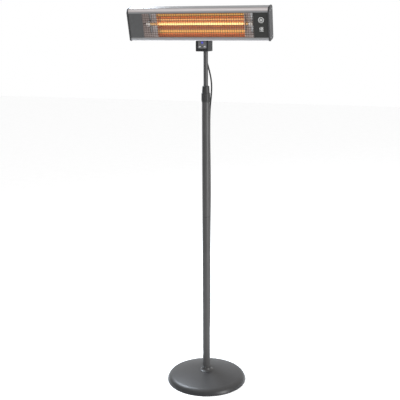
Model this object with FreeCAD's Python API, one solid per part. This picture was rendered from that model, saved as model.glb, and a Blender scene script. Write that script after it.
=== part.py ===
"""Free-standing infrared heater: round base, telescoping pole, control box and a tilting heater head.

Units are millimetres. +Z is up, the origin is on the floor under the pole's axis, and the head faces -Y.
Each named node is written to parts/NODE.step.
"""
import FreeCAD, Part
import math
import os

V = FreeCAD.Vector
X, Y, Z = V(1, 0, 0), V(0, 1, 0), V(0, 0, 1)

# Driving dimensions
BASE_R = 205.0            # base cover's outside radius
DOME_Z = 49.5             # top of the dome, where the pole stands
FOOT_H = 3.0              # rubber feet under the bottom plate
FOOT_PCR = 170.0          # radius that the feet stand on
FEET = 6
SHEET = 1.5               # pressed steel thickness
TUBE_R = 19.0             # lower and middle tubes
TUBE_WALL = 1.2
SEAM_Z = 884.0            # where the two tubes meet
MIDDLE_TOP = 1470.0
UPPER_R = 11.0            # sliding upper tube
UPPER_WALL = 1.5
UPPER_BOTTOM = 1180.0
UPPER_TOP = 1742.0
RING_R = 21.5             # clamp ring
RING_TOP = 1501.0
COLLET_TOP = 1535.0
GAP = 0.3                 # clearance between bodies
BOX_W = 62.0              # control box
BOX_FRONT = -58.0
BOX_BACK = 10.0
BOX_LOW = 1700.0
BOX_HIGH = 1749.0
BOX_WALL = 2.2
PANEL_X = 2.0             # middle of the control plate
HEAD_L = 669.0            # housing between the end caps
HEAD_TILT = 15.0          # degrees that the face looks down at rest
HEAD_Y = -132.0           # middle of the head's front plane
HEAD_Z = 1819.4
OPENING_H = 114.0         # front opening of the housing
HOUSING_TOP = 77.0        # housing above and below the opening's middle
HOUSING_LOW = -73.0
HOUSING_DEPTH = 64.0
HOUSING_WALL = 2.0
CAP_T = 8.0               # end cap's visible thickness
CAP_PROUD = 1.8
GRILLE_L = 534.0          # grille between the two front panels
WIRE_R = 0.85
WIRE_PITCH = 11.0
LAMP_DEPTH = 30.0         # lamp's axis behind the front plane
LAMP_R = 7.0
LIT_LOW, LIT_HIGH = -196.0, 224.0  # the ends of the reflector, where its baffles stand
PIVOT_Y = -42.0           # tilt axis, along X
PIVOT_Z = 1786.0
PIVOT_R = 5.0
LEAD_X = -66.0            # where the lead enters the housing's back
CORD_D = 7.5
CORD_TURNS_R = 24.0       # radius of the hank's folds
HANK_RUN = 82.9           # straight part of the hank's runs
HANK_AZIMUTH = 18.0       # the hank is behind the pole, this far round towards +X

# The cord. Its places behind the pole are (across, behind): across is to the viewer's right at
# HANK_AZIMUTH, and behind is away from that viewer.
CORD_EXIT_U, CORD_EXIT_V = 4.0, 19.9
CORD_EXIT_Z = 1680.0
CORD_ROUTE = [            # (across, behind, height)
    (4.0, 19.9, 1679.8),
    (4.0, 19.9, 1655.0),
    (11.5, 22.5, 1628.0),
    (19.5, 23.0, 1598.0),
    (26.0, 20.5, 1566.0),
    (28.6, 17.5, 1532.0),
    (27.4, 15.8, 1498.0),
    (24.4, 15.2, 1464.0),
    (20.6, 17.2, 1428.0),
    (18.6, 19.2, 1380.0),
    (18.2, 20.0, 1300.0),
    (18.8, 18.6, 1210.0),
    (19.8, 16.2, 1110.0),
    (20.2, 15.1, 1000.0),
    (19.3, 15.4, 895.0),
    (18.2, 15.6, 790.0),
    (17.8, 15.8, 680.0),
    (18.1, 15.6, 570.0),
    (18.5, 15.4, 465.0),
    (18.2, 15.9, 370.0),
    (16.6, 18.2, 300.0),
    (14.0, 22.2, 245.0),
    (13.2, 24.5, 200.0),
    (13.2, 24.9, 160.2),
]
CORD_TAIL = [             # (across, behind, height), from under the hank to the plug
    (-9.6, 49.0, 52.95),
    (-9.2, 67.0, 53.8),
    (-6.0, 87.0, 62.6),
    (-3.0, 108.0, 62.8),
]
PLUG_FALL = 9.0           # degrees that the plug slopes down away from the pole, as the dome does
HANK_FRONT = 24.5         # centreline of the hank's front runs, behind the pole's axis
HANK_LEFT = -13.7         # the hank's sides, across
HANK_RIGHT = 17.2
HANK_LOW = 49.2           # underside of the hank

NODES = {}


def node(name, *solids):
    """Names a node and keeps its solids."""
    NODES[name] = Part.makeCompound(list(solids)) if len(solids) > 1 else solids[0]


def box(x0, x1, y0, y1, z0, z1):
    return Part.makeBox(x1 - x0, y1 - y0, z1 - z0, V(x0, y0, z0))


def rod(r, start, along, length):
    return Part.makeCylinder(r, length, start, along)


def pipe(r_out, r_in, z0, z1):
    return rod(r_out, V(0, 0, z0), Z, z1 - z0).cut(rod(r_in, V(0, 0, z0), Z, z1 - z0))


def turned(points):
    """A solid of revolution about Z from (radius, height) points; a triple holds an arc's mid and end."""
    edges = []
    here = V(points[0][0], 0, points[0][1])
    for p in points[1:] + [points[0]]:
        there = V(p[-2], 0, p[-1])
        if len(p) == 4:
            edges.append(Part.Arc(here, V(p[0], 0, p[1]), there).toShape())
        else:
            edges.append(Part.LineSegment(here, there).toShape())
        here = there
    return Part.Face(Part.Wire(edges)).revolve(V(0, 0, 0), Z, 360)


def along_x(points, x0, x1):
    """A prism along X from (y, z) points."""
    corners = [V(x0, y, z) for y, z in points]
    return Part.Face(Part.makePolygon(corners + corners[:1])).extrude(V(x1 - x0, 0, 0))


def rounded_prism(points, radii, x0, x1):
    """A prism along X whose (y, z) corners are rounded by the radii given."""
    edges, starts, ends = [], [], []
    count = len(points)
    for i in range(count):
        corner = V(x0, *points[i])
        before = (V(x0, *points[i - 1]) - corner).normalize()
        after = (V(x0, *points[(i + 1) % count]) - corner).normalize()
        half = before.getAngle(after) / 2
        back = radii[i] / math.tan(half)
        start, end = corner + before * back, corner + after * back
        middle = (before + after).normalize()
        centre = corner + middle * (radii[i] / math.sin(half))
        edges.append(Part.Arc(start, centre - middle * radii[i], end).toShape())
        starts.append(start)
        ends.append(end)
    for i in range(count):
        edges.append(Part.LineSegment(ends[i], starts[(i + 1) % count]).toShape())
    wire = Part.Wire(Part.__sortEdges__(edges))
    return Part.Face(wire).extrude(V(x1 - x0, 0, 0))


def hexagon(across, start, along, height):
    """A hexagonal prism, such as a bolt head."""
    corners = [V(across / math.sqrt(3) * math.cos(math.radians(60 * i)),
                 across / math.sqrt(3) * math.sin(math.radians(60 * i)), 0) for i in range(7)]
    solid = Part.Face(Part.makePolygon(corners)).extrude(V(0, 0, height))
    solid.Placement = FreeCAD.Placement(start, FreeCAD.Rotation(Z, along))
    return solid


def screw(head_r, head_h, shank_r, shank_l, start, along):
    """A pan-head screw: the head stands on start, and the shank goes along the given way."""
    head = rod(head_r, start - along * head_h, along, head_h)
    slot = rod(head_r * 0.35, start - along * head_h, along, head_h * 0.5)
    return head.cut(slot).fuse(rod(shank_r, start, along, shank_l))


def round_array(solid, count, first=0.0):
    """Copies of a solid, evenly spaced about Z."""
    copies = []
    for i in range(count):
        one = solid.copy()
        one.rotate(V(0, 0, 0), Z, first + 360.0 * i / count)
        copies.append(one)
    return copies


def head_place(*solids):
    """Takes solids from the head's own frame (front plane at y = 0, middle at z = 0) to the row frame."""
    placed = []
    for solid in solids:
        one = solid.copy()
        one.rotate(V(0, 0, 0), X, HEAD_TILT)
        one.translate(V(0, HEAD_Y, HEAD_Z))
        placed.append(one)
    return placed


def head_local(y, z):
    """(depth, height) in the head's own frame of a row-frame point."""
    c, s = math.cos(math.radians(HEAD_TILT)), math.sin(math.radians(HEAD_TILT))
    dy, dz = y - HEAD_Y, z - HEAD_Z
    return dy * c + dz * s, -dy * s + dz * c


def feet_places():
    return [V(FOOT_PCR * math.cos(math.radians(60 * i + 30)),
              FOOT_PCR * math.sin(math.radians(60 * i + 30)), 0) for i in range(FEET)]


def make_base():
    rim_top = 6.0
    shoulder = (179.0, 32.2)
    turn = (196.2, 22.9)
    crown = (107.9, 44.0)
    flat_r = 36.0
    rim_low = FOOT_H - 1.0
    bolt_r = 6.0
    cover = turned([(BASE_R, rim_low), (BASE_R, rim_top),
                    (turn[0], turn[1], shoulder[0], shoulder[1]),
                    (crown[0], crown[1], flat_r, DOME_Z), (bolt_r + 0.5, DOME_Z),
                    (bolt_r + 0.5, DOME_Z - SHEET), (flat_r, DOME_Z - SHEET),
                    (crown[0], crown[1] - SHEET, shoulder[0] - 0.2, shoulder[1] - SHEET),
                    (turn[0] - 1.1, turn[1] - 1.1, BASE_R - SHEET, rim_top), (BASE_R - SHEET, rim_low)])
    node("base_cover", cover)
    plate_top = FOOT_H + 2.0
    weight = turned([(bolt_r + 0.3, plate_top), (190.0, plate_top), (190.0, 14.0), (110.0, 28.5),
                     (36.0, DOME_Z - SHEET - 1.0), (bolt_r + 0.3, DOME_Z - SHEET - 1.0)])
    well = rod(16.0, V(0, 0, plate_top), Z, 10.0)
    weight = weight.cut(well)
    plate = pipe(202.0, 16.0, FOOT_H, plate_top)
    feet, screws = [], []
    for place in feet_places():
        foot = rod(13.0, place, Z, FOOT_H).cut(rod(4.4, place, Z, 1.8)).cut(rod(2.2, place, Z, FOOT_H))
        feet.append(foot)
        screws.append(screw(4.0, 1.2, 2.0, 8.0, place + Z * 1.8, Z))
        hole = rod(2.1, place, Z, 10.0)
        weight = weight.cut(hole)
        plate = plate.cut(hole)
    node("base_weight", weight)
    node("base_plate", plate)
    node("base_feet", *feet)
    node("foot_screws", *screws)
    washer_low = plate_top + 10.0 - 2.0
    node("pole_washer", pipe(15.5, bolt_r + 0.3, washer_low, washer_low + 2.0))
    head = hexagon(19.0, V(0, 0, washer_low - 7.0), Z, 7.0)
    node("pole_bolt", head.fuse(rod(bolt_r - 0.1, V(0, 0, washer_low), Z, 60.0)))
    node("foot_plug", pipe(TUBE_R - TUBE_WALL, bolt_r, DOME_Z + 1.0, DOME_Z + 41.0))
    flare = turned([(TUBE_R + 0.1, DOME_Z), (36.0, DOME_Z), (36.0, DOME_Z + 1.6),
                    (25.2, DOME_Z + 8.0, TUBE_R + 2.0, DOME_Z + 21.0), (TUBE_R + 0.1, DOME_Z + 22.0)])
    node("neck_flare", flare)


def make_lower_pole():
    inner = TUBE_R - TUBE_WALL
    lip = 1.0
    node("lower_tube", pipe(TUBE_R, inner, DOME_Z, SEAM_Z - lip))
    node("middle_tube", pipe(TUBE_R, inner, SEAM_Z + lip, MIDDLE_TOP))
    coupler = pipe(inner, 15.0, SEAM_Z - 40, SEAM_Z + 40)
    node("tube_coupler", coupler.fuse(pipe(TUBE_R - 0.4, 15.0, SEAM_Z - lip, SEAM_Z + lip)))
    bore = UPPER_R + GAP
    collet = turned([(bore, 1420.0), (inner, 1420.0), (inner, MIDDLE_TOP), (TUBE_R, MIDDLE_TOP),
                     (TUBE_R, RING_TOP), (17.0, COLLET_TOP - 4.0),
                     (16.6, COLLET_TOP - 1.0, 14.6, COLLET_TOP), (bore, COLLET_TOP)])
    slot_w, slots = 2.6, 3
    for i in range(slots):
        slot = box(-slot_w / 2, slot_w / 2, 0, 30.0, RING_TOP - 8.0, COLLET_TOP + 1)
        slot.rotate(V(0, 0, 0), Z, 360.0 / slots * i + 162.0)
        collet = collet.cut(slot)
    node("collet", collet)
    ring = turned([(TUBE_R + GAP, 1457.0), (TUBE_R + 0.9, 1457.0), (RING_R, 1466.0),
                   (RING_R, RING_TOP - 1.2), (RING_R - 1.2, RING_TOP), (TUBE_R + GAP, RING_TOP)])
    ribs = 18
    groove = rod(0.9, V(RING_R + 0.2, 0, 1467.0), Z, 32.0)
    for one in round_array(groove, ribs):
        ring = ring.cut(one)
    node("clamp_ring", ring)


def make_upper_pole():
    node("upper_tube", pipe(UPPER_R, UPPER_R - UPPER_WALL, UPPER_BOTTOM, UPPER_TOP))
    node("guide_bush", pipe(TUBE_R - TUBE_WALL - GAP, UPPER_R, UPPER_BOTTOM, UPPER_BOTTOM + 28.0))
    half = 17.0
    back = 32.0
    top = BOX_HIGH
    block = box(-half, half, -13.0, back, BOX_LOW, top)
    upright = [e for e in block.Edges if abs(e.Vertexes[0].Z - e.Vertexes[-1].Z) > 10]
    block = block.makeFillet(5.0, upright)
    block = block.cut(rod(UPPER_R, V(0, 0, BOX_LOW - 1), Z, UPPER_TOP - BOX_LOW + 1))
    ear_t = 4.0
    lean = [(-12.0, top - 2.0), (-12.0, top + 0.6), (PIVOT_Y - 10.6, PIVOT_Z - 5.6),
            (PIVOT_Y + 5.8, PIVOT_Z + 10.5), (24.0, top + 6.0), (24.0, top - 2.0)]
    solid = block
    for side in (-1, 1):
        x0 = side * half - (ear_t if side > 0 else 0)
        stem = along_x(lean, x0, x0 + ear_t)
        disc = rod(12.0, V(x0, PIVOT_Y, PIVOT_Z), X, ear_t)
        solid = solid.fuse(stem).fuse(disc)
    solid = solid.cut(rod(PIVOT_R, V(-half - 1, PIVOT_Y, PIVOT_Z), X, 2 * half + 2))
    screw_z = BOX_LOW + 35.0
    screw_r, screw_in = 2.5, back - UPPER_R + UPPER_WALL
    bore = rod(screw_r, V(0, back, screw_z), Y * -1, screw_in)
    solid = solid.cut(bore)
    solid = solid.cut(rod(3.6, cord_point(CORD_EXIT_U, CORD_EXIT_V, BOX_LOW - 1), Z, 20.0))
    node("pole_socket", solid.removeSplitter())
    NODES["upper_tube"] = NODES["upper_tube"].cut(bore)
    node("socket_screw", screw(4.5, 2.4, screw_r, screw_in, V(0, back, screw_z), Y * -1))
    pivot = rod(PIVOT_R, V(-half, PIVOT_Y, PIVOT_Z), X, 2 * half + 14.0)
    pivot = pivot.fuse(hexagon(14.0, V(-half - 4.0, PIVOT_Y, PIVOT_Z), X, 4.0))
    pivot = pivot.cut(rod(PIVOT_R - 1.8, V(-half - 4.0, PIVOT_Y, PIVOT_Z), X, 2 * half + 10.0))
    node("tilt_pivot", pivot)
    washers = []
    for x in (-half + ear_t, half - ear_t - 0.9):
        disc = rod(9.5, V(x, PIVOT_Y, PIVOT_Z), X, 0.9)
        washers.append(disc.cut(rod(PIVOT_R, V(x, PIVOT_Y, PIVOT_Z), X, 0.9)))
    node("tilt_washers", *washers)
    make_knob(half + GAP)


def make_knob(x0):
    length = 17.0
    lobes = 6
    knob = rod(13.0, V(x0, PIVOT_Y, PIVOT_Z), X, length)
    rim = [e for e in knob.Edges if e.Length > 50 and abs(e.Vertexes[0].X - x0 - length) < 0.1]
    knob = knob.makeFillet(2.0, rim)
    for i in range(lobes):
        a = math.radians(360.0 / lobes * i)
        centre = V(x0 + 5.0, PIVOT_Y + 15.6 * math.cos(a), PIVOT_Z + 15.6 * math.sin(a))
        knob = knob.cut(rod(5.0, centre, X, length))
    knob = knob.cut(rod(PIVOT_R + GAP, V(x0, PIVOT_Y, PIVOT_Z), X, 15.0))
    node("tilt_knob", knob)


def make_control_box():
    half = BOX_W / 2
    split = BOX_FRONT + 8.0
    outer = box(-half, half, BOX_FRONT, BOX_BACK, BOX_LOW, BOX_HIGH)
    outer = outer.makeFillet(3.0, [e for e in outer.Edges if e.BoundBox.YLength > 20])
    front_ring = [e for e in outer.Edges if e.BoundBox.YMax < BOX_FRONT + 0.1]
    outer = outer.makeFillet(1.6, front_ring)
    slot_front = -13.0 - 0.2
    outer = outer.cut(box(-17.2, 17.2, slot_front, BOX_BACK + 1, BOX_LOW - 1, BOX_HIGH + 1))
    hollow = box(-half + BOX_WALL, half - BOX_WALL, BOX_FRONT + BOX_WALL, slot_front - BOX_WALL,
                 BOX_LOW + BOX_WALL, BOX_HIGH - BOX_WALL)
    shell = outer.cut(hollow)
    front = shell.common(box(-100, 100, BOX_FRONT - 1, split - 0.1, BOX_LOW - 1, BOX_HIGH + 1))
    rear = shell.common(box(-100, 100, split, BOX_BACK + 1, BOX_LOW - 1, BOX_HIGH + 1))
    plate_w, plate_low, plate_high = 41.0, BOX_LOW + 14.0, BOX_HIGH - 1.5
    plate_t = 1.2
    plate = box(PANEL_X - plate_w / 2, PANEL_X + plate_w / 2, BOX_FRONT - plate_t, BOX_FRONT,
                plate_low, plate_high)
    corners = [e for e in plate.Edges if e.BoundBox.YLength > 1.0]
    plate = plate.makeFillet(2.5, corners)
    lens_z, button_z, button_dx = 1741.0, 1722.4, 12.8
    face = BOX_FRONT - plate_t
    lens_r, window_r = 5.5, 2.6
    lens = rod(lens_r, V(PANEL_X, face - 0.8, lens_z), Y, 5.0)
    window = rod(window_r, V(PANEL_X, face - 0.3, button_z), Y, 4.4)
    for tool_r, z in ((lens_r, lens_z), (window_r, button_z)):
        hole = rod(tool_r, V(PANEL_X, face - 2, z), Y, 8.0)
        plate = plate.cut(hole)
        front = front.cut(hole)
    node("status_lens", lens)
    node("receiver_window", window)
    for name, side in (("power_button", -1), ("timer_button", 1)):
        x = PANEL_X + side * button_dx
        cap = rod(3.8, V(x, face - 1.6, button_z), Y, 5.4)
        flange = rod(5.2, V(x, BOX_FRONT + BOX_WALL + GAP, button_z), Y, 1.2)
        hole = rod(3.8 + GAP, V(x, face - 2, button_z), Y, 8.0)
        plate = plate.cut(hole)
        front = front.cut(hole)
        node(name, cap.fuse(flange))
    node("control_plate", plate)
    node("box_front", front)
    board_y = BOX_FRONT + 14.0
    board = box(-26.0, 26.0, board_y, board_y + 1.6, BOX_LOW + 4.5, BOX_HIGH - 4.5)
    boss_at = [(sx * 25.0, z) for sx in (-1, 1) for z in (BOX_LOW + 7.0, BOX_HIGH - 7.0)]
    screws = []
    for x, z in boss_at:
        boss = rod(3.0, V(x, board_y + 2.0, z), Y, slot_front - BOX_WALL - board_y - 2.0)
        rear = rear.fuse(boss)
        rear = rear.cut(rod(1.3, V(x, board_y + 1.0, z), Y, 12.0))
        board = board.cut(rod(1.6, V(x, board_y - 1, z), Y, 4.0))
        screws.append(screw(2.6, 1.8, 1.3, 9.0, V(x, board_y, z), Y))
    node("box_case", rear)
    node("circuit_board", board)
    node("board_screws", *screws)
    relay = box(-18.0, 0.0, board_y + 1.6, board_y + 14.0, BOX_LOW + 17.0, BOX_LOW + 32.0)
    driver = box(6.0, 16.0, board_y + 1.6, board_y + 5.0, BOX_LOW + 20.0, BOX_LOW + 30.0)
    capacitor = rod(4.0, V(12.0, board_y + 1.6, BOX_LOW + 12.0), Y, 12.0)
    node("board_parts", relay, driver, capacitor)


def housing_outline():
    """The housing's outer corners, as (depth, height), and the radius at each."""
    corners = [(0, HOUSING_LOW), (0, HOUSING_TOP), (HOUSING_DEPTH, HOUSING_TOP),
               (HOUSING_DEPTH - 6, HOUSING_LOW)]
    return corners, [8.0, 20.0, 14.0, 12.0]


def grown(solid, amount):
    """A prism with its cross-section made larger, or smaller if amount is negative."""
    ends = [f for f in solid.Faces if abs(abs(f.normalAt(0, 0).x) - 1) < 1e-6]
    first = min(ends, key=lambda f: f.CenterOfMass.x)
    wire = first.OuterWire.makeOffset2D(amount)
    return Part.Face(wire).extrude(V(solid.BoundBox.XLength, 0, 0))


def make_housing():
    corners, radii = housing_outline()
    half = HEAD_L / 2
    outer = rounded_prism(corners, radii, -half, half)
    inner = grown(outer, -HOUSING_WALL)
    mouth = box(-half, half, -1, HOUSING_WALL + 1, -OPENING_H / 2, OPENING_H / 2)
    shell = outer.cut(inner).cut(mouth)
    exit_y, exit_z = head_local(PIVOT_Y, PIVOT_Z)
    grommet_hole = rod(5.0, V(LEAD_X, exit_y - 40, exit_z), Y, 60.0)
    bracket_plate, lugs, screws = tilt_bracket()
    for one in screws:
        shell = shell.cut(one)
    shell = shell.cut(grommet_hole)
    node("housing", head_place(shell)[0])
    node("tilt_bracket", head_place(bracket_plate.fuse(lugs))[0])
    node("bracket_screws", *head_place(*screws))
    end_solids = {}
    for name, side in (("left", -1), ("right", 1)):
        prism = rounded_prism(corners, radii, 0, CAP_T)
        cap = grown(prism, CAP_PROUD)
        rim = [e for e in cap.Edges if e.BoundBox.XLength < 0.01 and abs(e.BoundBox.XMax - CAP_T) < 0.01]
        cap = cap.makeFillet(2.5, rim)
        plug = grown(rounded_prism(corners, radii, -6.0, 0.01), -HOUSING_WALL - 0.2)
        hollow = grown(rounded_prism(corners, radii, -6.0, 0.0), -HOUSING_WALL - 2.6)
        plug = plug.cut(hollow).cut(box(-7, 1, -1, 12, -OPENING_H / 2 - 4, OPENING_H / 2 + 4))
        cap = cap.fuse(plug)
        if side < 0:
            cap = cap.mirror(V(0, 0, 0), X)
        cap.translate(V(side * half, 0, 0))
        end_solids[name] = cap
    places = [(14.0, 62.0), (50.0, 62.0), (14.0, -60.0), (46.0, -60.0)]
    cap_screws = []
    for side, name in ((-1, "left"), (1, "right")):
        start_x = side * (half + CAP_T)
        for depth, height in places:
            one = screw(3.4, 1.8, 1.6, 8.5, V(start_x - side * 1.8, depth, height), X * -side)
            seat = rod(3.8, V(start_x, depth, height), X * -side, 1.8)
            bore = rod(1.6, V(start_x, depth, height), X * -side, 12.0)
            end_solids[name] = end_solids[name].cut(seat).cut(bore)
            cap_screws.append(one)
        node(name + "_cap", head_place(end_solids[name])[0])
    node("cap_screws", *head_place(*cap_screws))


def tilt_bracket():
    """The bracket's plate, its two lugs and its screws, in the head's frame."""
    depth = HOUSING_DEPTH - 5.0
    pivot_depth, pivot_height = head_local(PIVOT_Y, PIVOT_Z)
    slope = math.degrees(math.atan2(6.0, HOUSING_TOP - HOUSING_LOW))
    low, high = -60.0, -24.0
    plate = box(-50.0, 50.0, 0, 3.0, low, high)
    plate = plate.makeFillet(4.0, [e for e in plate.Edges if e.BoundBox.YLength > 2])
    screws = []
    for x in (-44.0, 44.0):
        for z in (low + 9, high - 9):
            plate = plate.cut(rod(2.1, V(x, -1, z), Y, 5.0))
            screws.append(screw(3.8, 2.2, 2.0, 9.0, V(x, 3.0, z), Y * -1))
    placed = []
    for one in [plate] + screws:
        one = one.copy()
        one.rotate(V(0, 0, 0), X, -slope)
        one.translate(V(0, housing_back(0.0) + 0.02, 0))
        placed.append(one)
    plate, screws = placed[0], placed[1:]
    solid = None
    for x0 in (-11.8, 8.8):
        web = box(x0, x0 + 3.0, depth - 6, pivot_depth, pivot_height - 8, pivot_height + 22)
        web = web.common(box(-50, 50, housing_back(pivot_height) + 1.6, 200, -100, 100))
        lug = web.fuse(rod(11.0, V(x0, pivot_depth, pivot_height), X, 3.0))
        solid = lug if solid is None else solid.fuse(lug)
    bore = rod(PIVOT_R + GAP, V(-60, pivot_depth, pivot_height), X, 120)
    return plate, solid.cut(bore), screws


def housing_back(height):
    """Depth of the housing's sloping back at a height in the head's frame."""
    share = (height - HOUSING_LOW) / (HOUSING_TOP - HOUSING_LOW)
    return HOUSING_DEPTH - 6 + 6 * share


def sheet_strip(points, thickness, x0, x1):
    """A bent sheet along X: its (depth, height) bends, offset by the thickness towards the back."""
    outer = []
    for i, (y, z) in enumerate(points):
        before = points[max(i - 1, 0)]
        after = points[min(i + 1, len(points) - 1)]
        dy, dz = after[0] - before[0], after[1] - before[1]
        length = math.hypot(dy, dz)
        outer.append((y - dz / length * thickness, z + dy / length * thickness))
    return along_x(list(points) + outer[::-1], x0, x1)


def reflector_bends():
    """The reflector's bends from its upper lip to its lower lip, as (depth, height)."""
    upper = [(6.5, 54.0), (17.0, 50.0), (29.0, 42.0), (40.0, 31.0), (47.0, 18.0), (50.0, 6.0)]
    return upper + [(y, -z) for y, z in reversed(upper)]


def make_head_inside():
    node("reflector", head_place(sheet_strip(reflector_bends(), 0.8, LIT_LOW, LIT_HIGH))[0])
    outline = reflector_bends()
    baffles = []
    for x0 in (LIT_LOW - 1.2, LIT_HIGH + 0.2):
        wall = along_x(outline, x0, x0 + 1.0).cut(rod(9.0, V(x0 - 1, LAMP_DEPTH, 0), X, 3.0))
        baffles.append(wall)
    node("reflector_baffles", *head_place(*baffles))
    glass_half, end_l = 238.0, 20.0
    centre = V(-glass_half, LAMP_DEPTH, 0)
    quartz = rod(LAMP_R, centre, X, 2 * glass_half).cut(rod(LAMP_R - 1.2, centre, X, 2 * glass_half))
    node("quartz_tube", head_place(quartz)[0])
    filament = rod(2.6, V(-glass_half + 2, LAMP_DEPTH, 0), X, 2 * glass_half - 4)
    node("filament", head_place(filament)[0])
    ends, holders = [], []
    for side in (-1, 1):
        start = V(side * glass_half, LAMP_DEPTH, 0)
        flat = box(-300, 300, LAMP_DEPTH - 10, LAMP_DEPTH - 6.5, -10, 10)
        ends.append(rod(9.0, start, X * side, end_l).cut(flat))
        x_mid = side * (glass_half + end_l / 2)
        saddle = box(x_mid - 5, x_mid + 5, LAMP_DEPTH + 2, 50.0, -12.0, 12.0)
        saddle = saddle.cut(rod(9.1, V(x_mid - 6, LAMP_DEPTH, 0), X, 12))
        foot = box(x_mid - 5, x_mid + 5, 50.0, 52.0, -50.0, 50.0)
        holders.append(saddle.fuse(foot))
    node("lamp_ends", *head_place(*ends))
    node("lamp_holders", *head_place(*holders))
    node("terminal_block", head_place(box(284.0, 312.0, 30.0, 50.0, -14.0, 22.0))[0])
    node("tip_switch", head_place(box(288.0, 314.0, 30.0, 48.0, -50.0, -26.0))[0])
    wires = []
    for height, side in ((8.0, 1), (-6.0, -1)):
        start = V(side * (glass_half + end_l), LAMP_DEPTH + 4, height - 6 * side)
        wires.append(rod(1.4, start, X * side, 26.0))
    wires.append(rod(1.4, V(-266.0, 55.0, -10.0), X, 540.0))
    node("lamp_wires", *head_place(*wires))
    make_lead()


def make_lead():
    """The lead from the hollow pivot's open end, round a quarter turn and into the housing's back."""
    depth, height = head_local(PIVOT_Y, PIVOT_Z)
    radius = 14.0
    start = V(-21.0 - GAP, depth, height)
    first = V(LEAD_X + radius, depth, height)
    last = V(LEAD_X, depth - radius, height)
    k = radius * (1 - math.sqrt(0.5))
    middle = V(LEAD_X + k, depth - k, height)
    end = V(LEAD_X, housing_back(height) - 12.0, height)
    path = Part.Wire([Part.LineSegment(start, first).toShape(), Part.Arc(first, middle, last).toShape(),
                      Part.LineSegment(last, end).toShape()])
    lead_r = 2.9
    profile = Part.Wire(Part.makeCircle(lead_r, start, X))
    lead = path.makePipeShell([profile], True, False)
    node("head_lead", head_place(lead)[0])
    wall = housing_back(height)
    grommet = rod(7.5, V(LEAD_X, wall + 0.4, height), Y, 2.6)
    grommet = grommet.fuse(rod(4.8, V(LEAD_X, wall - 4.0, height), Y, 6.0))
    grommet = grommet.cut(rod(lead_r, V(LEAD_X, wall - 10.0, height), Y, 20.0))
    node("lead_grommet", head_place(grommet)[0])


def make_front():
    half = HEAD_L / 2
    inner = GRILLE_L / 2
    slack = 0.3
    for name, side in (("left_panel", -1), ("right_panel", 1)):
        x0, x1 = sorted((side * inner, side * (half - 0.2)))
        panel = box(x0, x1, 0.6, 3.0, -OPENING_H / 2 + slack, OPENING_H / 2 - slack)
        node(name, head_place(panel)[0])
    wires = []
    reach = inner - 1.0
    height = OPENING_H / 2 - 1.0
    count = int(2 * reach / WIRE_PITCH)
    first = -count * WIRE_PITCH / 2
    front, back = 3.4, 3.4 + 2 * WIRE_R
    for i in range(count + 1):
        wires.append(rod(WIRE_R, V(first + i * WIRE_PITCH, front, -height), Z, 2 * height))
    rows = int(2 * height / WIRE_PITCH)
    for i in range(rows + 1):
        z = -rows * WIRE_PITCH / 2 + i * WIRE_PITCH
        wires.append(rod(WIRE_R, V(-reach, back, z), X, 2 * reach))
    node("grille", *head_place(*wires))


def cord_point(across, behind, z):
    a = math.radians(HANK_AZIMUTH)
    return V(across * math.cos(a) - behind * math.sin(a), across * math.sin(a) + behind * math.cos(a), z)


def tangent_path(points):
    """Straight runs joined by tangent arcs, with the arcs' radii."""
    edges, radii = [], []
    here = points[0]
    for i in range(1, len(points) - 1):
        back = (points[i - 1] - points[i])
        ahead = (points[i + 1] - points[i])
        reach = 0.45 * min(back.Length, ahead.Length)
        turn = math.pi - back.getAngle(ahead)
        back.normalize()
        ahead.normalize()
        start, end = points[i] + back * reach, points[i] + ahead * reach
        radius = reach / math.tan(turn / 2)
        inward = (back + ahead).normalize()
        middle = points[i] + inward * (radius / math.cos(turn / 2) - radius)
        edges.append(Part.LineSegment(here, start).toShape())
        edges.append(Part.Arc(start, middle, end).toShape())
        radii.append(radius)
        here = end
    edges.append(Part.LineSegment(here, points[-1]).toShape())
    return Part.Wire(edges), radii


def make_cord():
    points = [cord_point(*p) for p in CORD_ROUTE]
    path, radii = tangent_path(points)
    profile = Part.Wire(Part.makeCircle(CORD_D / 2, points[0], points[1] - points[0]))
    cord = path.makePipeShell([profile], True, False)
    area = math.pi * CORD_D ** 2 / 4
    print("cord radii", [round(r) for r in radii])
    print("cord length", round(path.Length, 1), "volume", round(cord.Volume), "section x length",
          round(area * path.Length))
    node("cord", cord)
    boot = Part.makeCone(7.0, 4.9, 20.0, cord_point(CORD_EXIT_U, CORD_EXIT_V, CORD_EXIT_Z + 20.0), Z * -1)
    boot = boot.fuse(rod(3.6, cord_point(CORD_EXIT_U, CORD_EXIT_V, BOX_LOW - 1), Z, 16.0))
    clear = rod(UPPER_R + 0.1, V(0, 0, CORD_EXIT_Z - 1), Z, 40.0)
    node("strain_relief", boot.cut(clear))
    make_hank()
    make_plug()


def stand_in_plane(solid):
    """Turns a solid made in the across-behind plane, with behind along +Y, to its azimuth."""
    solid.rotate(V(0, 0, 0), Z, HANK_AZIMUTH)
    return solid


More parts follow.
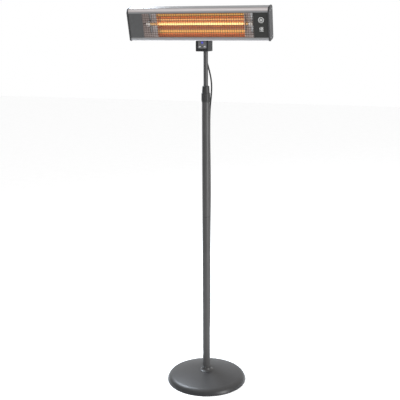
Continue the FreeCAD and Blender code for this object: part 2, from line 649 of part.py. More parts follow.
def make_hank():
    outer_r = CORD_TURNS_R + CORD_D / 2
    middle = HANK_FRONT + CORD_TURNS_R
    low, high = HANK_LOW + outer_r, HANK_LOW + outer_r + HANK_RUN
    top_cut = box(-30, 30, 0, middle - outer_r + 0.2, 0, 400)

    def stadium(r, x0, x1):
        lower = rod(r, V(x0, middle, low), X, x1 - x0)
        upper = rod(r, V(x0, middle, high), X, x1 - x0)
        return lower.fuse(upper).fuse(box(x0, x1, middle - r, middle + r, low, high)).removeSplitter()

    inner_r = CORD_TURNS_R - CORD_D / 2 - 1.0
    hank = stadium(outer_r, HANK_LEFT, HANK_RIGHT).cut(stadium(inner_r, HANK_LEFT - 1, HANK_RIGHT + 1))
    neck = rod(CORD_D / 2 + 0.01, V(*CORD_ROUTE[-1]), Z, 60)
    hank = hank.cut(top_cut).cut(neck)
    node("cord_hank", stand_in_plane(hank))
    tie_z, tie_h, tie_t = (low + high) / 2, 12.0, 1.4
    reach = outer_r + 0.1
    left, right = HANK_LEFT - 0.1, HANK_RIGHT + 0.1
    band = box(left - tie_t, right + tie_t, middle - reach - tie_t, middle + reach + tie_t,
               tie_z - tie_h / 2, tie_z + tie_h / 2)
    band = band.cut(box(left, right, middle - reach, middle + reach, tie_z - 50, tie_z + 50))
    node("cord_tie", stand_in_plane(band))
    tail_points = [V(*p) for p in CORD_TAIL]
    tail_path, radii = tangent_path(tail_points)
    profile = Part.Wire(Part.makeCircle(CORD_D / 2, tail_points[0], Y))
    tail = tail_path.makePipeShell([profile], True, False)
    area = math.pi * CORD_D ** 2 / 4
    print("tail radii", [round(r) for r in radii], "length", round(tail_path.Length, 1),
          "volume", round(tail.Volume), "section x length", round(area * tail_path.Length))
    node("cord_tail", stand_in_plane(tail))


def make_plug():
    """The plug lies on the dome behind the hank, with its pins pointing away from the pole."""
    tail = V(*CORD_TAIL[-1])
    body = turned([(0, 0), (5.0, 0), (6.4, 18.0), (9.5, 24.0, 14.5, 30.0), (17.6, 36.0),
                   (17.6, 50.0), (0, 50.0)])
    recess = rod(13.5, V(0, 0, 44.0), Z, 7.0)
    pins = [rod(2.4, V(x, 0, 44.0), Z, 23.0) for x in (-9.5, 9.5)]
    placement = FreeCAD.Placement(tail, FreeCAD.Rotation(X, -90 - PLUG_FALL))
    core = rod(15.0, V(0, 0, 44.0), Z, 3.0)
    body = body.cut(recess).fuse(core)
    for pin in pins:
        body = body.cut(pin)
    body.Placement = placement
    for pin in pins:
        pin.Placement = placement.multiply(pin.Placement)
    node("plug", stand_in_plane(body).cut(NODES["cord_tail"]))
    node("plug_pins", *[stand_in_plane(p) for p in pins])


def main():
    make_base()
    make_lower_pole()
    make_upper_pole()
    make_control_box()
    make_housing()
    make_front()
    make_head_inside()
    make_cord()
    os.makedirs("parts", exist_ok=True)
    for name, shape in NODES.items():
        bad = [s for s in shape.Solids if not s.isValid() or s.Volume <= 0]
        if bad or not shape.Solids:
            print("bad solid in", name)
        shape.exportStep("parts/" + name + ".step")
    print(len(NODES), "nodes")


main()
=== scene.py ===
"""Visual model of a free-standing infrared heater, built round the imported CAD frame. Units are metres."""
import math

import bmesh
import bpy
from mathutils import Matrix, Vector


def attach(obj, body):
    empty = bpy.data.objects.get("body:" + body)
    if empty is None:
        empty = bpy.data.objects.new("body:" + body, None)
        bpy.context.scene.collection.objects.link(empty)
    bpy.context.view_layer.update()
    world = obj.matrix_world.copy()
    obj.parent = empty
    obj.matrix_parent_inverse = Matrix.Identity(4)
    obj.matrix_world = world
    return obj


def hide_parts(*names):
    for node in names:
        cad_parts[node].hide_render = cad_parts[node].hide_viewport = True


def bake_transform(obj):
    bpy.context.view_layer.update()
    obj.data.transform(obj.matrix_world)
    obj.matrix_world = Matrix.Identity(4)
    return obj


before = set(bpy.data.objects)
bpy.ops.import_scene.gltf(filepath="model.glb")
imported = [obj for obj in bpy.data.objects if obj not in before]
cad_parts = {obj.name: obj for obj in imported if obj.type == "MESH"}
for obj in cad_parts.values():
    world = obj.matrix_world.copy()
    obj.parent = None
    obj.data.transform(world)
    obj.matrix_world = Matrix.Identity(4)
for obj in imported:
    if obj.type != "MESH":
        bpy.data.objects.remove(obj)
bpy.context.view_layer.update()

MM = 0.001

# ---------------------------------------------------------------- the camera
CAMERA_AT = (1.1136, -3.4644, 1.8214)
CAMERA_LENS = 67.22                 # millimetres, on a sensor 36 mm wide
CAMERA_AZIMUTH = math.radians(18.3)
CAMERA_DOWN, CAMERA_ROLL = 0.2301, -0.0047      # radians

# ---------------------------------------------------------------- the object's own dimensions, from the CAD
HEAD_TILT = math.radians(15.0)
HEAD_AT = Vector((0.0, -0.132, 1.8194))
LAMP_DEPTH = 0.030                  # lamp's axis behind the head's front plane
LAMP_HALF = 0.238                   # half of the quartz tube
LIT_LOW, LIT_HIGH = -0.203, 0.217   # the ends of the lamp's glowing part
BOX_FACE = -0.0592                  # front of the control plate
PANEL_X = 0.002                     # middle of the control plate
HANK_AZIMUTH = math.radians(18.0)
CORD_D = 0.0075
BUTTON_DX, BUTTON_Z, LENS_Z = 0.0128, 1.7224, 1.7410
PLUG_FALL = math.radians(9.0)       # the plug slopes down as the dome does
RELIEF_LOW, RELIEF_LENGTH = 1.680, 0.020
RIBS = 5                            # on the strain relief and on the plug's neck

BRUSHING = (3.0, 260.0, 260.0)      # how much finer brushed lines are across than along X


# ---------------------------------------------------------------- materials
class Nodes:
    """A material's node tree with short calls for adding nodes."""

    def __init__(self, name):
        self.material = bpy.data.materials.new(name)
        self.material.use_nodes = True
        self.tree = self.material.node_tree
        self.shader = self.tree.nodes["Principled BSDF"]
        coords = self.tree.nodes.new("ShaderNodeTexCoord")
        self.place = coords.outputs["Object"]

    def add(self, kind, **values):
        made = self.tree.nodes.new(kind)
        for key, value in values.items():
            if key in made.inputs:
                made.inputs[key].default_value = value
            else:
                setattr(made, key, value)
        return made

    def link(self, source, target):
        self.tree.links.new(source, target)

    def scaled(self, scale):
        mapping = self.add("ShaderNodeMapping")
        mapping.inputs["Scale"].default_value = scale
        self.link(self.place, mapping.inputs["Vector"])
        return mapping.outputs["Vector"]

    def noise(self, scale, detail=3.0, stretch=(1, 1, 1), rough=0.5):
        made = self.add("ShaderNodeTexNoise")
        made.inputs["Scale"].default_value = scale
        made.inputs["Detail"].default_value = detail
        made.inputs["Roughness"].default_value = rough
        self.link(self.scaled(stretch), made.inputs["Vector"])
        return made.outputs["Fac"]

    def ramp(self, fac, stops):
        made = self.add("ShaderNodeValToRGB")
        elements = made.color_ramp.elements
        while len(elements) < len(stops):
            elements.new(0.5)
        for element, (at, colour) in zip(elements, stops):
            element.position = at
            element.color = tuple(colour) + (1.0,)
        self.link(fac, made.inputs["Fac"])
        return made.outputs["Color"]

    def spread(self, fac, low, high):
        made = self.add("ShaderNodeMapRange")
        made.inputs["To Min"].default_value = low
        made.inputs["To Max"].default_value = high
        self.link(fac, made.inputs["Value"])
        return made.outputs["Result"]

    def share_along(self, direction, low, high):
        """0 to 1 as the place goes from low to high along a direction."""
        dot = self.add("ShaderNodeVectorMath", operation="DOT_PRODUCT")
        self.link(self.place, dot.inputs[0])
        dot.inputs[1].default_value = direction
        share = self.add("ShaderNodeMapRange", clamp=True)
        self.link(dot.outputs["Value"], share.inputs["Value"])
        share.inputs["From Min"].default_value = low
        share.inputs["From Max"].default_value = high
        return share.outputs["Result"]

    def combined(self, operation, one, two):
        made = self.add("ShaderNodeMath", operation=operation)
        self.link(one, made.inputs[0])
        self.link(two, made.inputs[1])
        return made.outputs["Value"]

    def between(self, low, high, soft):
        """1 between two places along X, and 0 beyond them."""
        return self.combined("MULTIPLY", self.share_along((1, 0, 0), low - soft, low + soft),
                             self.share_along((1, 0, 0), high + soft, high - soft))

    def glow(self, colour, share, strength):
        """Light of its own, faded by a share from 0 to 1."""
        faded = self.add("ShaderNodeVectorMath", operation="SCALE")
        self.link(colour, faded.inputs[0])
        self.link(share, faded.inputs["Scale"])
        self.link(faded.outputs["Vector"], self.shader.inputs["Emission Color"])
        self.set(Emission_Strength=strength)

    def bump(self, height, strength, distance):
        made = self.add("ShaderNodeBump")
        made.inputs["Strength"].default_value = strength
        made.inputs["Distance"].default_value = distance
        self.link(height, made.inputs["Height"])
        self.link(made.outputs["Normal"], self.shader.inputs["Normal"])

    def colour(self, socket):
        self.link(socket, self.shader.inputs["Base Color"])

    def rough(self, fac, low, high):
        self.link(self.spread(fac, low, high), self.shader.inputs["Roughness"])

    def set(self, **values):
        for key, value in values.items():
            self.shader.inputs[key.replace("_", " ")].default_value = value


def shades(colour, amount):
    """Darker and lighter neighbours of a colour."""
    return [tuple(c * (1 - amount) for c in colour), tuple(min(1.0, c * (1 + amount)) for c in colour)]


def grained(name, colour, grain, depth, rough, metallic=0.0, vary=0.12, **sockets):
    """A surface with a fine grain in its height and broad, faint changes of colour and gloss."""
    n = Nodes(name)
    broad = n.noise(9.0, 4.0, rough=0.6)
    fine = n.noise(grain, 2.0)
    dark, light = shades(colour, vary)
    n.colour(n.ramp(broad, [(0.3, dark), (0.7, light)]))
    n.rough(broad, rough[0], rough[1])
    n.bump(fine, 0.35, depth)
    n.set(Metallic=metallic, **sockets)
    return n.material


def brushed(name, colour, rough):
    """Brushed metal, with fine lines drawn out along X."""
    n = Nodes(name)
    lines = n.noise(4.0, 3.0, BRUSHING, 0.7)
    broad = n.noise(7.0, 3.0)
    dark, light = shades(colour, 0.10)
    n.colour(n.ramp(lines, [(0.3, dark), (0.7, light)]))
    n.rough(broad, rough[0], rough[1])
    n.bump(lines, 0.12, 0.0001)
    n.set(Metallic=1.0)
    return n.material


def glowing(name, core, strength, scale):
    """A hot surface whose glow varies a little along its length."""
    n = Nodes(name)
    heat = n.noise(scale, 3.0)
    dark, light = shades(core, 0.12)
    colour = n.ramp(heat, [(0.3, dark), (0.7, light)])
    n.colour(colour)
    n.link(colour, n.shader.inputs["Emission Color"])
    n.set(Emission_Strength=strength, Roughness=0.5)
    n.bump(heat, 0.1, 0.0002)
    return n.material


M = {
    "powder_coat": grained("powder_coat", (0.033, 0.032, 0.032), 900.0, 0.00015, (0.40, 0.50),
                           Specular_IOR_Level=0.25),
    "ballast": grained("ballast", (0.45, 0.44, 0.42), 300.0, 0.0008, (0.8, 0.95), 0.0, 0.2),
    "zinc_steel": grained("zinc_steel", (0.50, 0.51, 0.52), 500.0, 0.00008, (0.25, 0.42), 1.0, 0.08),
    "foot_rubber": grained("foot_rubber", (0.02, 0.02, 0.02), 700.0, 0.0003, (0.7, 0.85)),
    "black_plastic": grained("black_plastic", (0.016, 0.016, 0.016), 1100.0, 0.0002, (0.42, 0.54),
                             Specular_IOR_Level=0.22),
    "cap_plastic": grained("cap_plastic", (0.016, 0.016, 0.017), 1100.0, 0.0002, (0.40, 0.52),
                           Specular_IOR_Level=0.35),
    "end_sheet": brushed("end_sheet", (0.60, 0.55, 0.52), (0.30, 0.42)),
    "box_plastic": grained("box_plastic", (0.012, 0.012, 0.013), 1100.0, 0.0002, (0.44, 0.56),
                           Specular_IOR_Level=0.18),
    "panel_paint": grained("panel_paint", (0.036, 0.036, 0.036), 800.0, 0.00015, (0.45, 0.58),
                           Specular_IOR_Level=0.4),
    # the right panel: a darker copy of the panel paint, with painted shade on it
    "painted_shade_panel": grained("painted_shade_panel", (0.014, 0.014, 0.013), 800.0, 0.00012, (0.45, 0.58),
                          Specular_IOR_Level=0.2),
    "bright_wire": grained("bright_wire", (0.05, 0.036, 0.030), 600.0, 0.00005, (0.3, 0.45), 0.8, 0.1),
    "filament": glowing("filament", (1.0, 0.70, 0.34), 1.9, 60.0),
    "ceramic": grained("ceramic", (0.78, 0.72, 0.66), 400.0, 0.0002, (0.55, 0.7)),
    "control_plate": grained("control_plate", (0.075, 0.075, 0.078), 1200.0, 0.00006, (0.35, 0.45),
                             Specular_IOR_Level=0.35),
    "light_plastic": grained("light_plastic", (0.40, 0.40, 0.41), 1200.0, 0.0001, (0.35, 0.45), 0.0, 0.06),
    "dark_lens": grained("dark_lens", (0.012, 0.012, 0.016), 300.0, 0.00003, (0.08, 0.16)),
    "board": grained("board", (0.04, 0.2, 0.09), 500.0, 0.0001, (0.3, 0.45)),
    "cord_rubber": grained("cord_rubber", (0.012, 0.012, 0.012), 1000.0, 0.0002, (0.5, 0.62),
                           Specular_IOR_Level=0.22),
    "tie": grained("tie", (0.02, 0.02, 0.022), 1600.0, 0.0006, (0.85, 0.95)),
    "brass_pins": grained("brass_pins", (0.66, 0.62, 0.52), 500.0, 0.00004, (0.2, 0.32), 1.0, 0.06),
    "white_print": grained("white_print", (0.55, 0.55, 0.54), 900.0, 0.00003, (0.5, 0.6), 0.0, 0.05),
    "blue_lens": glowing("blue_lens", (0.05, 0.05, 0.36), 0.55, 90.0),
}
NODE_LOOK = {
    "base_cover": "base_coat", "base_weight": "ballast", "base_plate": "zinc_steel",
    "base_feet": "foot_rubber", "foot_screws": "zinc_steel", "pole_washer": "zinc_steel",
    "pole_bolt": "zinc_steel", "foot_plug": "zinc_steel", "neck_flare": "base_coat",
    "lower_tube": "powder_coat", "middle_tube": "powder_coat", "tube_coupler": "box_plastic",
    "collet": "black_plastic", "clamp_ring": "black_plastic", "upper_tube": "powder_coat",
    "guide_bush": "black_plastic", "pole_socket": "powder_coat", "socket_screw": "zinc_steel",
    "tilt_pivot": "zinc_steel", "tilt_washers": "black_plastic", "tilt_knob": "black_plastic",
    "box_case": "box_plastic", "box_front": "box_plastic", "control_plate": "control_plate",
    "status_lens": "blue_lens", "receiver_window": "dark_lens", "circuit_board": "board",
    "board_screws": "zinc_steel", "board_parts": "black_plastic", "power_button": "light_plastic",
    "timer_button": "light_plastic", "housing": "aluminium", "tilt_bracket": "powder_coat",
    "bracket_screws": "zinc_steel", "left_cap": "cap_plastic", "right_cap": "cap_plastic",
    "cap_screws": "zinc_steel", "left_panel": "panel_paint", "right_panel": "painted_shade_panel",
    "grille": "bright_wire", "reflector": "reflector", "reflector_baffles": "end_sheet",
    "lamp_ends": "ceramic", "lamp_holders": "zinc_steel", "terminal_block": "light_plastic",
    "tip_switch": "black_plastic", "lamp_wires": "cord_rubber", "head_lead": "cord_rubber",
    "lead_grommet": "foot_rubber", "plug": "cord_rubber", "plug_pins": "brass_pins",
    "cord_tie": "tie", "strain_relief": "cord_rubber", "cord": "cord_rubber",
    "cord_tail": "cord_rubber", "cord_hank": "cord_rubber", "filament": "filament",
}


def housing_material():
    """Brushed aluminium, with painted light inside the housing: a warm glow of its own in place of the
    light from the lamp next to it.
    """
    n = Nodes("housing_sheet")
    lines = n.noise(4.0, 3.0, BRUSHING, 0.7)
    c, s = math.cos(HEAD_TILT), math.sin(HEAD_TILT)
    slope = 0.04          # of the housing's back
    walls = (             # a direction into the housing from each wall, and where that wall ends
        ((0, c, s), 0.0008, 0.0016),
        ((0, -s, c), -0.0722, -0.0715),
        ((0, s, -c), -0.0762, -0.0755),
        ((0, -c - slope * s, slope * c - s), -0.0602, -0.0595))
    shares = []
    for direction, shut, full in walls:
        middle = Vector(direction).dot(HEAD_AT)
        shares.append(n.share_along(direction, middle + shut, middle + full))
    inside = shares[0]
    for share in shares[1:]:
        inside = n.combined("MULTIPLY", inside, share)
    dark, light = shades((0.22, 0.22, 0.225), 0.1)
    n.colour(n.ramp(lines, [(0.3, dark), (0.7, light)]))
    # painted light: a warm glow inside the housing's walls, standing in for the lamp's light
    n.glow(n.ramp(lines, [(0.3, (0.30, 0.25, 0.235)), (0.7, (0.42, 0.34, 0.32))]), inside, 0.6)
    n.rough(n.noise(7.0), 0.30, 0.40)
    n.bump(lines, 0.12, 0.0001)
    n.set(Metallic=1.0)
    return n.material


def quartz_material():
    """Gold-coated quartz, with a faint glow of its own from the coil inside it."""
    n = Nodes("quartz")
    haze = n.noise(40.0, 3.0, (0.3, 1, 1))
    n.colour(n.ramp(haze, [(0.3, (1.0, 0.62, 0.26)), (0.7, (1.0, 0.74, 0.38))]))
    n.rough(haze, 0.05, 0.15)
    glow = n.ramp(haze, [(0.3, (1.0, 0.62, 0.24)), (0.7, (1.0, 0.74, 0.34))])
    n.glow(glow, n.between(LIT_LOW, LIT_HIGH, 0.006), 0.62)
    n.set(Alpha=0.6, Coat_Weight=0.4, Coat_Roughness=0.05)
    return n.material


def reflector_material():
    """Polished copper-toned sheet, with painted reflections: the lamp's mirror images as glowing golden
    stripes along its bends, set by height.
    """
    n = Nodes("reflector")
    lines = n.noise(4.0, 3.0, BRUSHING, 0.7)
    wander = n.noise(5.0, 2.0, (1.0, 0.2, 0.2))
    up = (0.0, -math.sin(HEAD_TILT), math.cos(HEAD_TILT))
    middle = Vector(up).dot(HEAD_AT)
    height = n.share_along(up, middle - 0.055, middle + 0.055)
    shift = n.combined("ADD", height, n.spread(wander, -0.012, 0.012))
    copper, dark, painted_reflection_gold = (0.18, 0.070, 0.042), (0.11, 0.044, 0.024), (0.56, 0.37, 0.11)
    # painted reflections of the lamp: golden stripes and dark gaps by height, shown as the sheet's own glow
    painted_reflection_bands = n.ramp(shift, [
        (0.03, copper), (0.10, (0.26, 0.085, 0.045)), (0.14, painted_reflection_gold), (0.21, painted_reflection_gold), (0.25, copper),
        (0.36, dark), (0.48, dark), (0.58, (0.30, 0.12, 0.05)), (0.63, (0.62, 0.46, 0.20)),
        (0.69, (0.26, 0.10, 0.04)),
        (0.80, (0.18, 0.07, 0.028)), (0.86, painted_reflection_gold), (0.91, (0.48, 0.30, 0.08)), (0.96, dark)])
    n.link(painted_reflection_bands, n.shader.inputs["Emission Color"])
    n.set(Emission_Strength=0.9, Metallic=1.0)
    n.colour(n.ramp(lines, [(0.3, (0.26, 0.12, 0.075)), (0.7, (0.33, 0.15, 0.095))]))
    n.rough(n.noise(7.0), 0.2, 0.3)
    n.bump(lines, 0.12, 0.0001)
    return n.material


def base_material():
    """Powder coat on the dome, with painted shade darkening it down its rim, and fine grain."""
    n = Nodes("base_coat")
    broad = n.noise(8.0, 4.0, rough=0.6)
    fine = n.noise(900.0, 2.0)
    # painted shade: the colour darkens by height towards the foot of the rim
    height = n.share_along((0, 0, 1), 0.006, 0.034)
    tone_and_painted_shade = n.add("ShaderNodeMath", operation="MULTIPLY_ADD")
    n.link(broad, tone_and_painted_shade.inputs[0])
    tone_and_painted_shade.inputs[1].default_value = 0.25
    n.link(height, tone_and_painted_shade.inputs[2])
    n.colour(n.ramp(tone_and_painted_shade.outputs["Value"], [(0.1, (0.009, 0.009, 0.010)), (0.55, (0.016, 0.016, 0.016)),
                                             (1.0, (0.027, 0.026, 0.026))]))
    n.rough(broad, 0.34, 0.42)
    n.bump(fine, 0.35, 0.00015)
    n.set(Specular_IOR_Level=0.23)
    return n.material


M["base_coat"] = base_material()
M["aluminium"] = housing_material()
M["quartz"] = quartz_material()
M["reflector"] = reflector_material()
NODE_LOOK["quartz_tube"] = "quartz"


def dress():
    """Gives every CAD node its material."""
    for name, look in NODE_LOOK.items():
        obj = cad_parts[name]
        if not obj.material_slots:
            obj.data.materials.append(M[look])
        for material_slot in obj.material_slots:
            material_slot.material = M[look]


# ---------------------------------------------------------------- mesh helpers
def piece(name, bm, look, body):
    """Makes an object of a bmesh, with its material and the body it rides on."""
    mesh = bpy.data.meshes.new(name)
    bmesh.ops.recalc_face_normals(bm, faces=bm.faces)
    bm.to_mesh(mesh)
    bm.free()
    for polygon in mesh.polygons:
        polygon.use_smooth = True
    mesh.materials.append(M[look])
    obj = bpy.data.objects.new(name, mesh)
    bpy.context.scene.collection.objects.link(obj)
    if body:
        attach(obj, body)
    return obj


def tube_rings(bm, points, radii, sides):
    """A closed tube through the points, with a radius at each, kept from twisting."""
    tangent = (points[1] - points[0]).normalized()
    normal = tangent.orthogonal().normalized()
    rings = []
    for i, at in enumerate(points):
        ahead = points[min(i + 1, len(points) - 1)] - points[max(i - 1, 0)]
        tangent = ahead.normalized()
        normal = (normal - tangent * normal.dot(tangent)).normalized()
        side = tangent.cross(normal)
        ring = []
        for k in range(sides):
            turn = 2 * math.pi * k / sides
            ring.append(bm.verts.new(at + (normal * math.cos(turn) + side * math.sin(turn)) * radii[i]))
        rings.append(ring)
    for low, high in zip(rings, rings[1:]):
        for k in range(sides):
            bm.faces.new((low[k], low[(k + 1) % sides], high[(k + 1) % sides], high[k]))
    bm.faces.new(rings[0][::-1])
    bm.faces.new(rings[-1])


def head_point(x, depth, height):
    """A point of the head's own frame (front plane at depth 0) in the row frame."""
    c, s = math.cos(HEAD_TILT), math.sin(HEAD_TILT)
    return Vector((x, HEAD_AT.y + depth * c - height * s, HEAD_AT.z + depth * s + height * c))


# ---------------------------------------------------------------- the mains cord
CORD_ROUTE = [            # (across, behind, height), the CAD route in millimetres
    (4.0, 19.9, 1679.8), (4.0, 19.9, 1655.0), (11.5, 22.5, 1628.0), (19.5, 23.0, 1598.0),
    (26.0, 20.5, 1566.0), (28.6, 17.5, 1532.0), (27.4, 15.8, 1498.0), (24.4, 15.2, 1464.0),
    (20.6, 17.2, 1428.0), (18.6, 19.2, 1380.0), (18.2, 20.0, 1300.0), (18.8, 18.6, 1210.0),
    (19.8, 16.2, 1110.0), (20.2, 15.1, 1000.0), (19.3, 15.4, 895.0), (18.2, 15.6, 790.0),
    (17.8, 15.8, 680.0), (18.1, 15.6, 570.0), (18.5, 15.4, 465.0), (18.2, 15.9, 370.0),
    (16.6, 18.2, 300.0), (14.0, 22.2, 245.0), (13.2, 24.5, 200.0), (13.2, 24.9, 160.2),
]
CORD_TAIL = [(-9.2, 67.0, 53.8), (-6.0, 87.0, 62.6), (-3.0, 108.0, 62.8)]
TURN_R = 24.0             # the hank's turns, in millimetres like the route
HANK_MIDDLE = 48.5
HANK_BOTTOM = 76.95
HANK_TOP = 159.85
HANK_TURNS = 3
TURN_STEP = -7.6          # across, from one turn to the next
FIRST_ACROSS = 13.2
STRAIGHT_LEAN = 0.22      # how much of a turn's step each straight run takes


def cord_place(across, behind, height):
    c, s = math.cos(HANK_AZIMUTH), math.sin(HANK_AZIMUTH)
    return Vector((across * c - behind * s, across * s + behind * c, height)) * MM


def hank_points():
    """The hank's oval turns: down behind the pole, round below, up at the back and over the top."""
    points = []
    arc, straight = 8, 4              # steps of a half circle and of a straight run

    def add(behind, height, turn):
        points.append((FIRST_ACROSS + TURN_STEP * turn, behind, height))

    for turn in range(HANK_TURNS + 1):
        for k in range(1, straight):
            share = k / straight
            add(HANK_MIDDLE - TURN_R, HANK_TOP + (HANK_BOTTOM - HANK_TOP) * share,
                turn + share * STRAIGHT_LEAN)
        for k in range(1, arc):
            a = math.pi * k / arc
            if turn == HANK_TURNS and k > arc // 2:
                return points
            add(HANK_MIDDLE - TURN_R * math.cos(a), HANK_BOTTOM - TURN_R * math.sin(a),
                turn + 0.25 + 0.25 * k / arc)
        for k in range(1, straight):
            share = k / straight
            add(HANK_MIDDLE + TURN_R, HANK_BOTTOM + (HANK_TOP - HANK_BOTTOM) * share,
                turn + 0.5 + share * STRAIGHT_LEAN)
        for k in range(1, arc):
            a = math.pi * k / arc
            add(HANK_MIDDLE + TURN_R * math.cos(a), HANK_TOP + TURN_R * math.sin(a),
                turn + 0.75 + 0.25 * k / arc)
    return points


def spline_points(points, resolution):
    """Points along the NURBS spline of the given control points."""
    curve = bpy.data.curves.new("route", "CURVE")
    curve.dimensions = "3D"
    curve.resolution_u = resolution
    spline = curve.splines.new("NURBS")
    spline.points.add(len(points) - 1)
    for spline_point, place in zip(spline.points, points):
        spline_point.co = (place.x, place.y, place.z, 1.0)
    spline.order_u = 3
    spline.use_endpoint_u = True
    holder = bpy.data.objects.new("route", curve)
    mesh = bpy.data.meshes.new_from_object(holder)
    followed = [vertex.co.copy() for vertex in mesh.vertices]
    bpy.data.objects.remove(holder)
    bpy.data.curves.remove(curve)
    bpy.data.meshes.remove(mesh)
    return followed


def make_cord():
    route = [cord_place(*p) for p in CORD_ROUTE + hank_points() + CORD_TAIL]
    followed = spline_points(route, resolution=8)
    bm = bmesh.new()
    tube_rings(bm, followed, [CORD_D / 2] * len(followed), sides=16)
    cord = piece("mains_cord", bm, "cord_rubber", None)
    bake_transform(cord)
    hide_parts("cord", "cord_hank", "cord_tail")


# ---------------------------------------------------------------- details of the head
def make_coil():
    """The glowing coil inside the quartz tube."""
    radius, pitch, wire = 0.0023, 0.0052, 0.00055
    steps = 10
    turns = int((LIT_HIGH - LIT_LOW) / pitch)
    points = [head_point(-LAMP_HALF, LAMP_DEPTH, 0), head_point(LIT_LOW - pitch, LAMP_DEPTH, 0)]
    for k in range(turns * steps + 1):
        a = 2 * math.pi * k / steps
        points.append(head_point(LIT_LOW + pitch * k / steps, LAMP_DEPTH + radius * math.cos(a),
                                 radius * math.sin(a)))
    points += [head_point(LIT_HIGH + pitch, LAMP_DEPTH, 0), head_point(LAMP_HALF, LAMP_DEPTH, 0)]
    bm = bmesh.new()
    tube_rings(bm, points, [wire] * len(points), sides=5)
    coil = piece("filament_coil", bm, "filament", "head")
    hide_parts("filament")


def flat_strip(bm, points, width, depth, lift):
    """A printed line on the right panel, through (x, height) points of the head's frame."""
    left, right = [], []
    for i, (x, height) in enumerate(points):
        ahead = points[min(i + 1, len(points) - 1)]
        before = points[max(i - 1, 0)]
        along = Vector((ahead[0] - before[0], ahead[1] - before[1])).normalized()
        across = Vector((-along.y, along.x)) * width / 2
        left.append((x + across.x, height + across.y))
        right.append((x - across.x, height - across.y))
    outline = left + right[::-1]
    count = len(outline)
    front = [bm.verts.new(head_point(x, depth - lift, height)) for x, height in outline]
    back = [bm.verts.new(head_point(x, depth, height)) for x, height in outline]
    half = len(points)
    for k in range(half - 1):
        for ring in (front, back):
            bm.faces.new((ring[k], ring[k + 1], ring[count - 2 - k], ring[count - 1 - k]))
    for k in range(count):
        bm.faces.new((front[k], front[(k + 1) % count], back[(k + 1) % count], back[k]))


def make_panel_marks():
    """Two generic marks on the right panel: a sun in a ring, and rising warmth over a bar."""
    depth, lift = 0.00058, 0.00012
    x, high, low = 0.3025, 0.0225, -0.0190
    bm = bmesh.new()
    rays, round_steps, wave_steps = 8, 48, 18
    for radius, width in ((0.0118, 0.0014), (0.0036, 0.0016)):
        turns = [2 * math.pi * k / round_steps for k in range(round_steps + 1)]
        ring = [(x + radius * math.cos(a), high + radius * math.sin(a)) for a in turns]
        flat_strip(bm, ring, width, depth, lift)
    for k in range(rays):
        a = 2 * math.pi * k / rays
        ray = [(x + r * math.cos(a), high + r * math.sin(a)) for r in (0.0058, 0.0088)]
        flat_strip(bm, ray, 0.0013, depth, lift)
    for offset in (-0.0062, 0.0, 0.0062):
        wave = [(x + offset + 0.0016 * math.sin(2 * math.pi * k / 12),
                 low - 0.004 + 0.0145 * k / wave_steps) for k in range(wave_steps + 1)]
        flat_strip(bm, wave, 0.0015, depth, lift)
    flat_strip(bm, [(x - 0.0095, low - 0.0075), (x + 0.0095, low - 0.0075)], 0.0016, depth, lift)
    piece("panel_marks", bm, "white_print", "head")


# ---------------------------------------------------------------- details of the control box and cord
def ring_mesh(bm, centre, axis, radius, thick, around=24):
    """A torus about an axis."""
    across = 8
    axis = Vector(axis).normalized()
    one = axis.orthogonal().normalized()
    two = axis.cross(one)
    rings = []
    for k in range(around):
        a = 2 * math.pi * k / around
        outward = one * math.cos(a) + two * math.sin(a)
        ring = []
        for m in range(across):
            b = 2 * math.pi * m / across
            reach = radius + thick * math.cos(b)
            ring.append(bm.verts.new(centre + outward * reach + axis * thick * math.sin(b)))
        rings.append(ring)
    for k in range(around):
        here, there = rings[k], rings[(k + 1) % around]
        for m in range(across):
            bm.faces.new((here[m], here[(m + 1) % across], there[(m + 1) % across], there[m]))


def bar_mesh(bm, start, end, radius):
    tube_rings(bm, [Vector(start), Vector(end)], [radius, radius], sides=6)


def make_button_marks():
    """A power mark on the left button and clock hands on the right one."""
    z, face = BUTTON_Z, BOX_FACE - 0.0016
    left, right = PANEL_X - BUTTON_DX, PANEL_X + BUTTON_DX
    bm = bmesh.new()
    ring_mesh(bm, Vector((left, face, z)), (0, 1, 0), 0.0018, 0.00022)
    bar_mesh(bm, (left, face, z + 0.0002), (left, face, z + 0.0028), 0.00025)
    piece("power_mark", bm, "black_plastic", "power_button")
    bm = bmesh.new()
    ring_mesh(bm, Vector((right, face, z)), (0, 1, 0), 0.0022, 0.00022)
    bar_mesh(bm, (right, face, z), (right, face, z + 0.0015), 0.00022)
    bar_mesh(bm, (right, face, z), (right + 0.0011, face, z - 0.0006), 0.00022)
    piece("timer_mark", bm, "black_plastic", "timer_button")
    bm = bmesh.new()
    ring_mesh(bm, Vector((PANEL_X, BOX_FACE - 0.0005, LENS_Z)), (0, 1, 0), 0.0056, 0.0005, 40)
    piece("lens_bezel", bm, "dark_lens", "mast")


def make_relief_ribs():
    """Moulded rings round the tapering strain relief."""
    at = cord_place(*CORD_ROUTE[0])
    bm = bmesh.new()
    thin, widening = 0.0049, 0.0021
    first, step = 1.6835, 0.0034
    for k in range(RIBS):
        z = first + step * k
        radius = thin + (z - RELIEF_LOW) / RELIEF_LENGTH * widening
        ring_mesh(bm, Vector((at.x, at.y, z)), (0, 0, 1), radius - 0.0002, 0.0007)
    piece("relief_ribs", bm, "cord_rubber", "mast")


def make_plug_grip():
    """Grip ribs round the plug's neck."""
    tail = cord_place(*CORD_TAIL[-1])
    c, s = math.cos(HANK_AZIMUTH), math.sin(HANK_AZIMUTH)
    along = Vector((-s * math.cos(PLUG_FALL), c * math.cos(PLUG_FALL), -math.sin(PLUG_FALL)))
    bm = bmesh.new()
    neck, taper = 0.0050, 0.078
    first, step = 0.003, 0.0032
    for k in range(RIBS):
        reach = first + step * k
        ring_mesh(bm, tail + along * reach, along, neck + reach * taper, 0.0008)
    piece("plug_grip", bm, "cord_rubber", "stand")


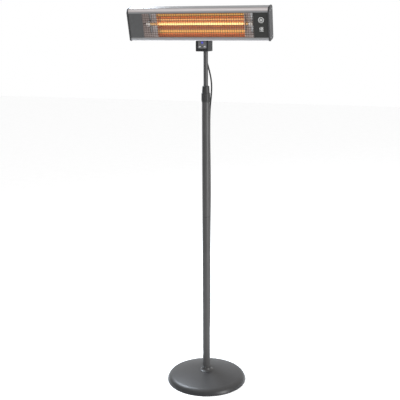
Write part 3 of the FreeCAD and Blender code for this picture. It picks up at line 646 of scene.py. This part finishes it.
# ---------------------------------------------------------------- light, floor and camera
def make_stage():
    floor_material = grained("floor", (0.965, 0.965, 0.965), 12.0, 0.0002, (0.85, 0.95), 0.0, 0.01)
    bm = bmesh.new()
    bmesh.ops.create_grid(bm, x_segments=4, y_segments=4, size=14.0)
    mesh = bpy.data.meshes.new("floor")
    bm.to_mesh(mesh)
    bm.free()
    mesh.materials.append(floor_material)
    floor = bpy.data.objects.new("floor", mesh)
    floor.location.z = -0.0003
    bpy.context.scene.collection.objects.link(floor)


def area_light(name, at, aim, size, power, colour=(1.0, 1.0, 1.0)):
    data = bpy.data.lights.new(name, "AREA")
    data.shape = "RECTANGLE"
    data.size, data.size_y = size
    data.energy = power
    data.color = colour
    lamp = bpy.data.objects.new(name, data)
    lamp.location = at
    lamp.rotation_euler = (Vector(aim) - Vector(at)).to_track_quat("-Z", "Y").to_euler()
    lamp.visible_camera = False
    bpy.context.scene.collection.objects.link(lamp)


def make_light():
    bpy.context.scene.view_settings.view_transform = "Standard"
    world = bpy.data.worlds.new("studio")
    world.use_nodes = True
    background = world.node_tree.nodes["Background"]
    background.inputs["Color"].default_value = (1.0, 1.0, 1.0, 1.0)
    background.inputs["Strength"].default_value = 1.0
    bpy.context.scene.world = world
    # Lights: name, place, aim, size, watts and colour.
    area_light("right_strip", (3.3, -1.45, 1.25), (0, 0, 1.25), (0.22, 2.1), 165.0)
    area_light("left_side", (-1.45, 0.7, 2.3), (-0.08, -0.14, 0.03), (1.2, 1.2), 130.0, (0.82, 0.90, 1.0))
    area_light("top", (-0.4, -1.4, 3.6), (0, -0.1, 1.6), (1.8, 1.2), 10.0)


def make_camera():
    data = bpy.data.cameras.new("camera")
    data.lens = CAMERA_LENS
    data.sensor_width = 36.0
    data.clip_end = 100.0
    camera = bpy.data.objects.new("camera", data)
    camera.location = CAMERA_AT
    turn = Matrix.Rotation(CAMERA_AZIMUTH, 4, "Z") @ Matrix.Rotation(math.pi / 2 - CAMERA_DOWN, 4, "X")
    camera.rotation_euler = (turn @ Matrix.Rotation(CAMERA_ROLL, 4, "Z")).to_euler()
    bpy.context.scene.collection.objects.link(camera)
    bpy.context.scene.camera = camera


dress()
make_cord()
make_coil()
make_panel_marks()
make_button_marks()
make_relief_ribs()
make_plug_grip()
make_stage()
make_light()
make_camera()
